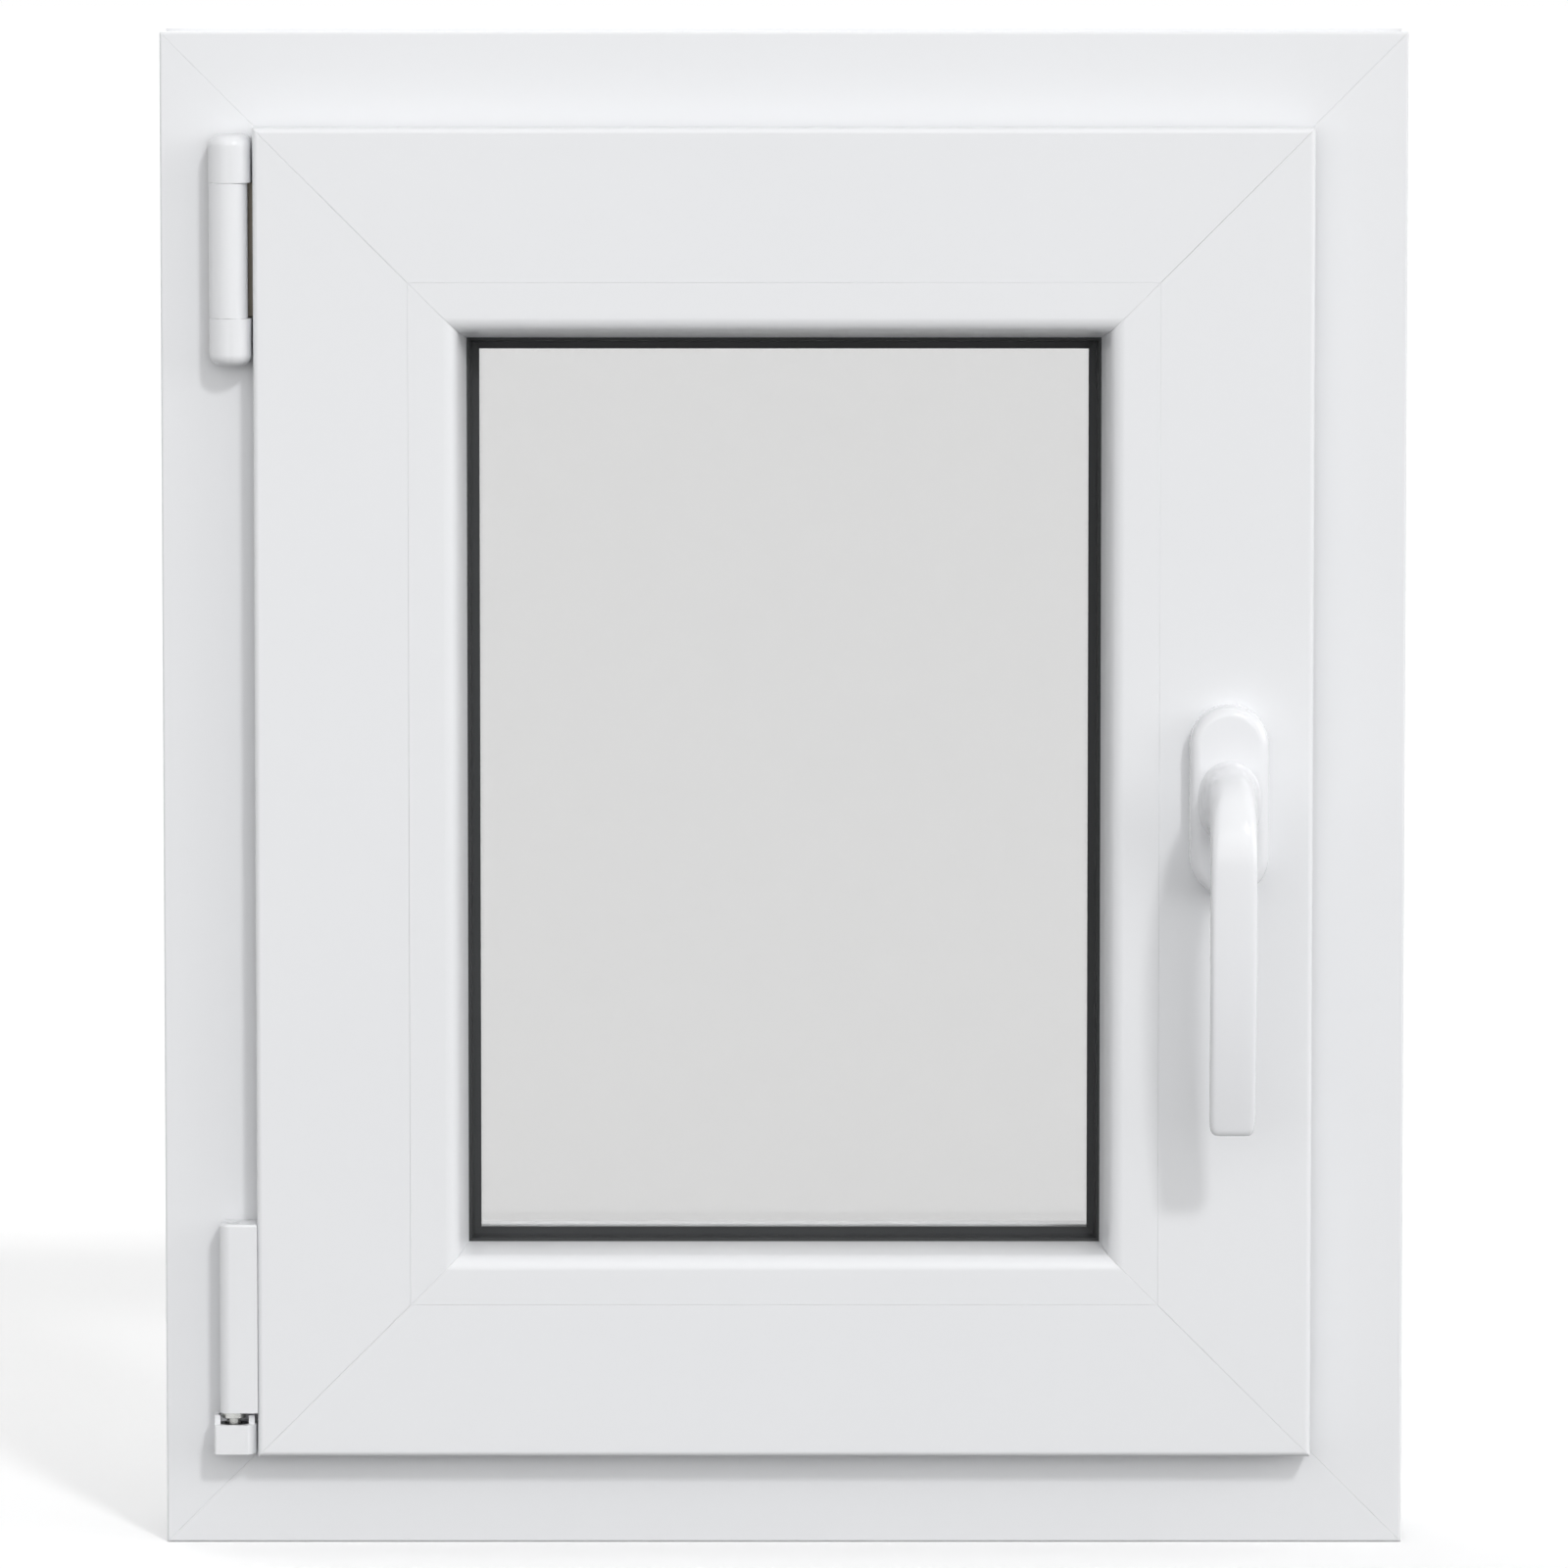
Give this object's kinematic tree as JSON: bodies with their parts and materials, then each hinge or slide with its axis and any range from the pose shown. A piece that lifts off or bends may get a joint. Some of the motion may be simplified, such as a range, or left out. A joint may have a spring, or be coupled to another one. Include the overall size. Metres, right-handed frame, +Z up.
{
  "type": "casement window",
  "caption": "White tilt-and-turn casement window: mitred hollow frame and sash, double glazing in black gaskets, stay and pivot hinges, lever handle driving a rack rod.",
  "frame": {"origin": "bottom centre of the whole window's box, on the underside of the sill", "axes": "+X to the right seen from the room, +Y outdoors, +Z up"},
  "size_m": [0.45, 0.144, 0.55],
  "materials": {
    "upvc_white": "smooth extruded",
    "steel": "galvanised",
    "glass": "clear float",
    "gasket_black": "moulded",
    "spacer": "mill",
    "sealant": "cast",
    "nylon": "moulded",
    "handle_white": "powder coated",
    "hinge_white": "moulded",
    "zinc": "zinc plated",
    "screw": "zinc plated"
  },
  "bodies": {
    "frame": {"frame_head": "upvc_white", "frame_head_steel": "steel", "frame_left_jamb": "upvc_white", "frame_left_jamb_steel": "steel", "frame_right_jamb": "upvc_white", "frame_right_jamb_steel": "steel", "frame_seal": "gasket_black", "frame_sill": "upvc_white", "frame_sill_steel": "steel", "upper_hinge_bracket": "zinc", "upper_hinge_pin": "zinc", "upper_hinge_top_cap": "hinge_white", "upper_hinge_bottom_cap": "hinge_white", "lower_pivot_block": "hinge_white", "upper_keep": "zinc", "lower_keep": "zinc", "keep_screws": "screw", "hinge_screws": "screw"},
    "pivot": {"pivot_cup": "nylon"},
    "sash": {"ball_pin": "zinc", "edge_sealant": "sealant", "faceplate": "zinc", "faceplate_screws": "screw", "gearbox_case": "zinc", "glazing_bead_bottom": "upvc_white", "glazing_bead_left": "upvc_white", "glazing_bead_right": "upvc_white", "glazing_bead_top": "upvc_white", "handle_base": "zinc", "handle_rosette": "handle_white", "handle_screws": "screw", "inner_gasket": "gasket_black", "inner_pane": "glass", "lower_hinge_sleeve": "hinge_white", "lower_hinge_strap": "zinc", "outer_gasket": "gasket_black", "outer_pane": "glass", "sash_bottom_rail": "upvc_white", "sash_bottom_rail_steel": "steel", "sash_hinge_stile": "upvc_white", "sash_hinge_stile_steel": "steel", "sash_lock_stile": "upvc_white", "sash_lock_stile_steel": "steel", "sash_seal": "gasket_black", "sash_top_rail": "upvc_white", "sash_top_rail_steel": "steel", "setting_blocks": "nylon", "spacer_frame": "spacer", "stay_guide": "nylon", "stay_rail_plate": "zinc", "strap_screws": "screw"},
    "stay": {"stay_arm": "zinc", "stay_sleeve": "hinge_white", "stay_guide_pin": "zinc"},
    "handle": {"handle_lever": "handle_white", "spindle": "zinc", "pinion": "zinc"},
    "drive": {"drive_rod": "zinc", "locking_cams": "zinc"}
  },
  "joints": [
    {"name": "sash_turn", "type": "hinge", "parent": "frame", "child": "pivot", "pos_m": [-0.2, -0.0095, 0.042], "axis": [0, 0, -1], "range_deg": [0, 90]},
    {"name": "sash_tilt", "type": "hinge", "parent": "pivot", "child": "sash", "pos_m": [-0.2, -0.0095, 0.042], "axis": [1, 0, 0], "range_deg": [0, 8]},
    {"name": "stay_swing", "type": "hinge", "parent": "pivot", "child": "stay", "pos_m": [-0.2, -0.0095, 0.47], "axis": [0, 0, -1], "range_deg": [0, 20]},
    {"name": "handle_turn", "type": "hinge", "parent": "sash", "child": "handle", "pos_m": [0.1605, -0.03, 0.274], "axis": [0, 1, 0], "range_deg": [0, 180]},
    {"name": "rod_slide", "type": "slide", "parent": "sash", "child": "drive", "axis": [0, 0, -1], "range_m": [0, 0.024]}
  ],
  "couplings": [
    {"joint": "stay_swing", "follows": "sash_tilt", "ratio": 2.356},
    {"joint": "rod_slide", "follows": "handle_turn", "m_per_rad": 0.0075}
  ]
}
